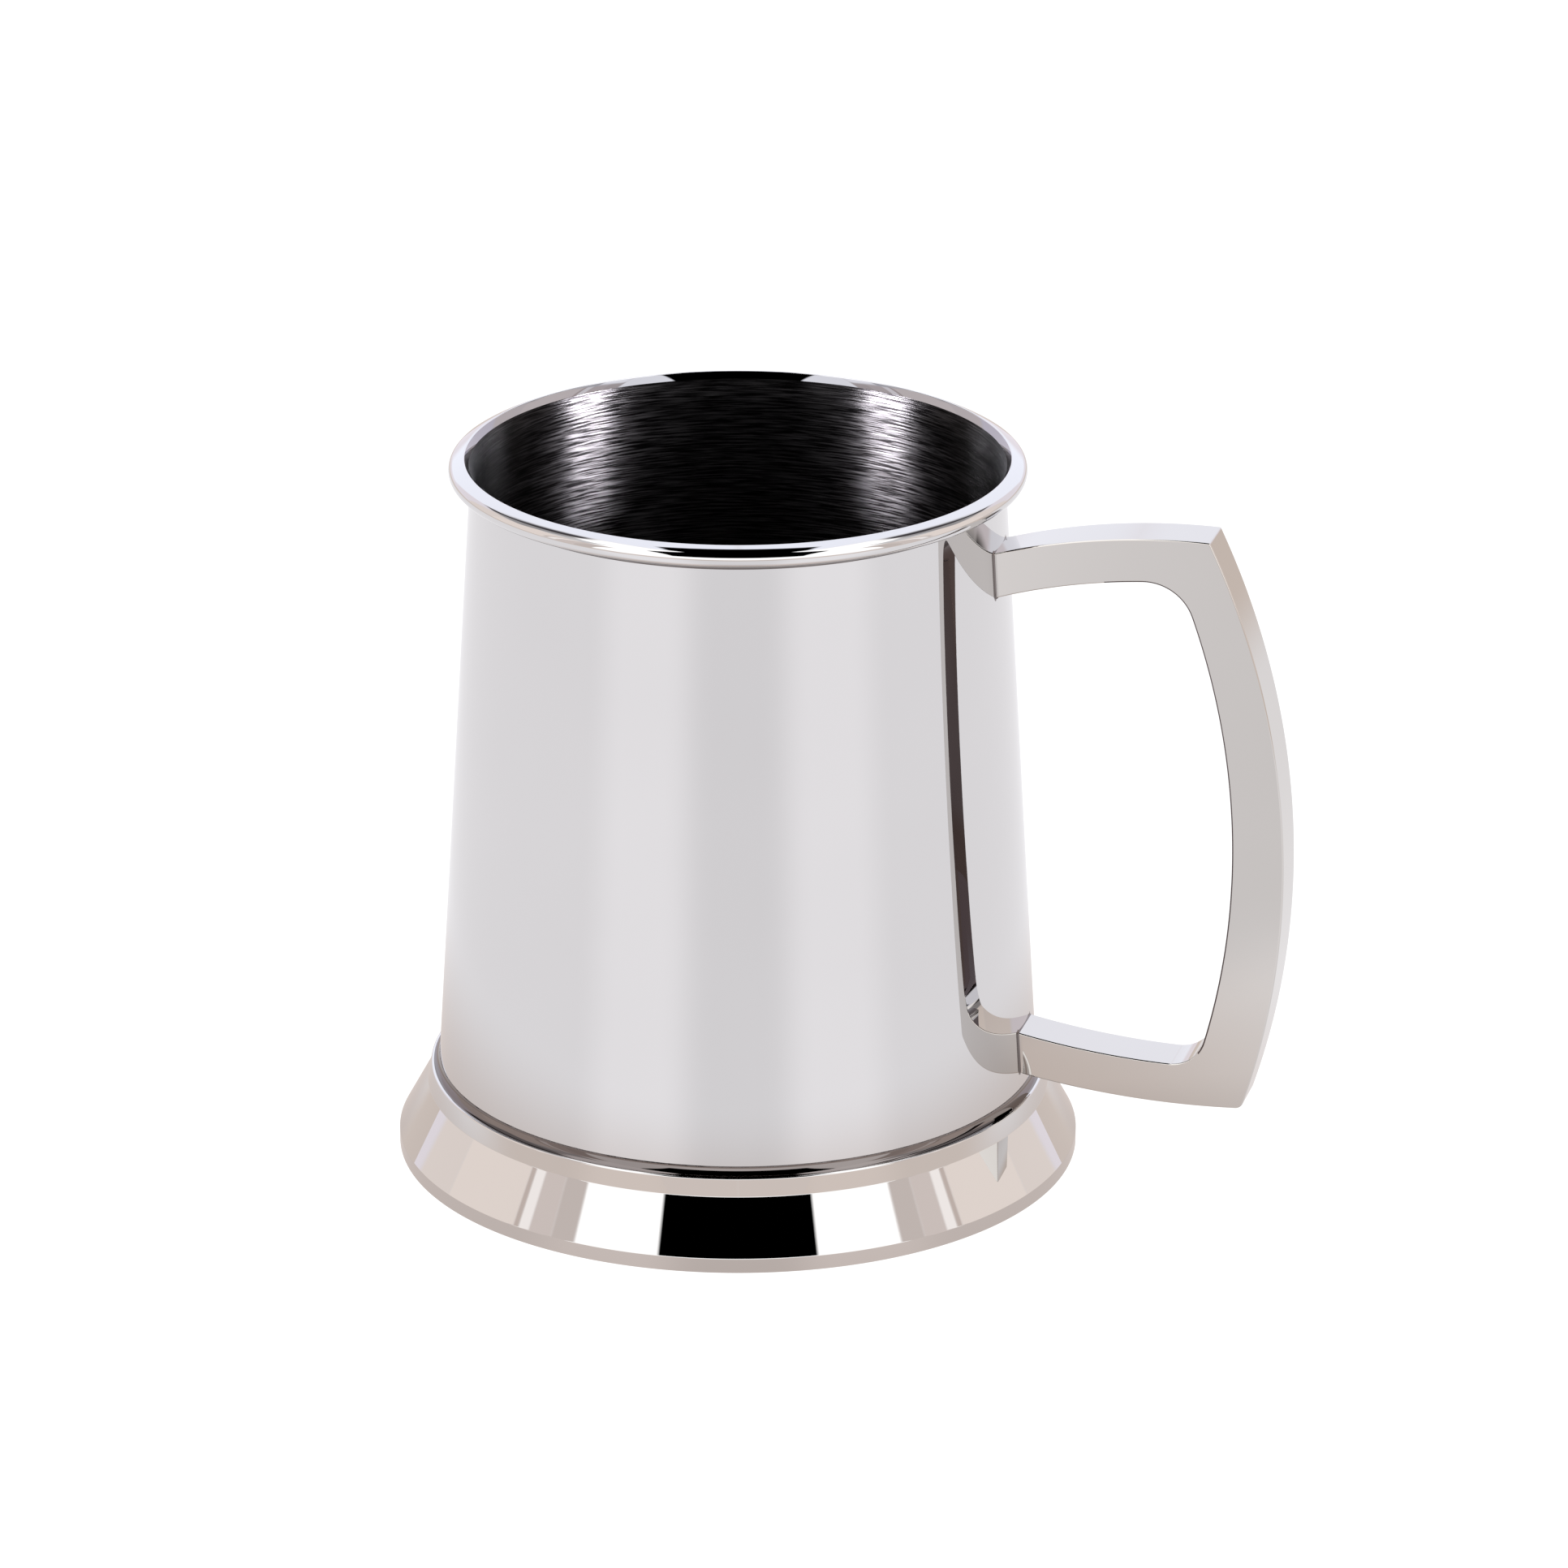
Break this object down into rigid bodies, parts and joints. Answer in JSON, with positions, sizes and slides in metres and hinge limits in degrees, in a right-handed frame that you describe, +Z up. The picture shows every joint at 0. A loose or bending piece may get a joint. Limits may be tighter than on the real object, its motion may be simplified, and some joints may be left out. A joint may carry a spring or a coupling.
{
  "type": "tankard",
  "caption": "Open straight-tapered drinking tankard with a rolled rim, a flared hollow foot and a squared bar handle.",
  "frame": {"origin": "centre of the foot's underside, on the body's axis", "axes": "+Z up the body's axis, +X towards the handle"},
  "size_m": [0.139, 0.1054, 0.1116],
  "materials": {
    "body": "mirror polished outside, satin brushed inside",
    "wire": "drawn wire, hidden inside the rim",
    "floor": "satin turned",
    "solder": "dressed and polished solder",
    "foot": "mirror polished",
    "handle": "mirror polished"
  },
  "bodies": {
    "root": {"body_wall": "body", "rim_wire": "wire", "floor_disc": "floor", "floor_solder": "solder", "foot_ring": "foot", "foot_solder": "solder", "handle": "handle", "upper_handle_solder": "solder", "lower_handle_solder": "solder"}
  },
  "joints": []
}
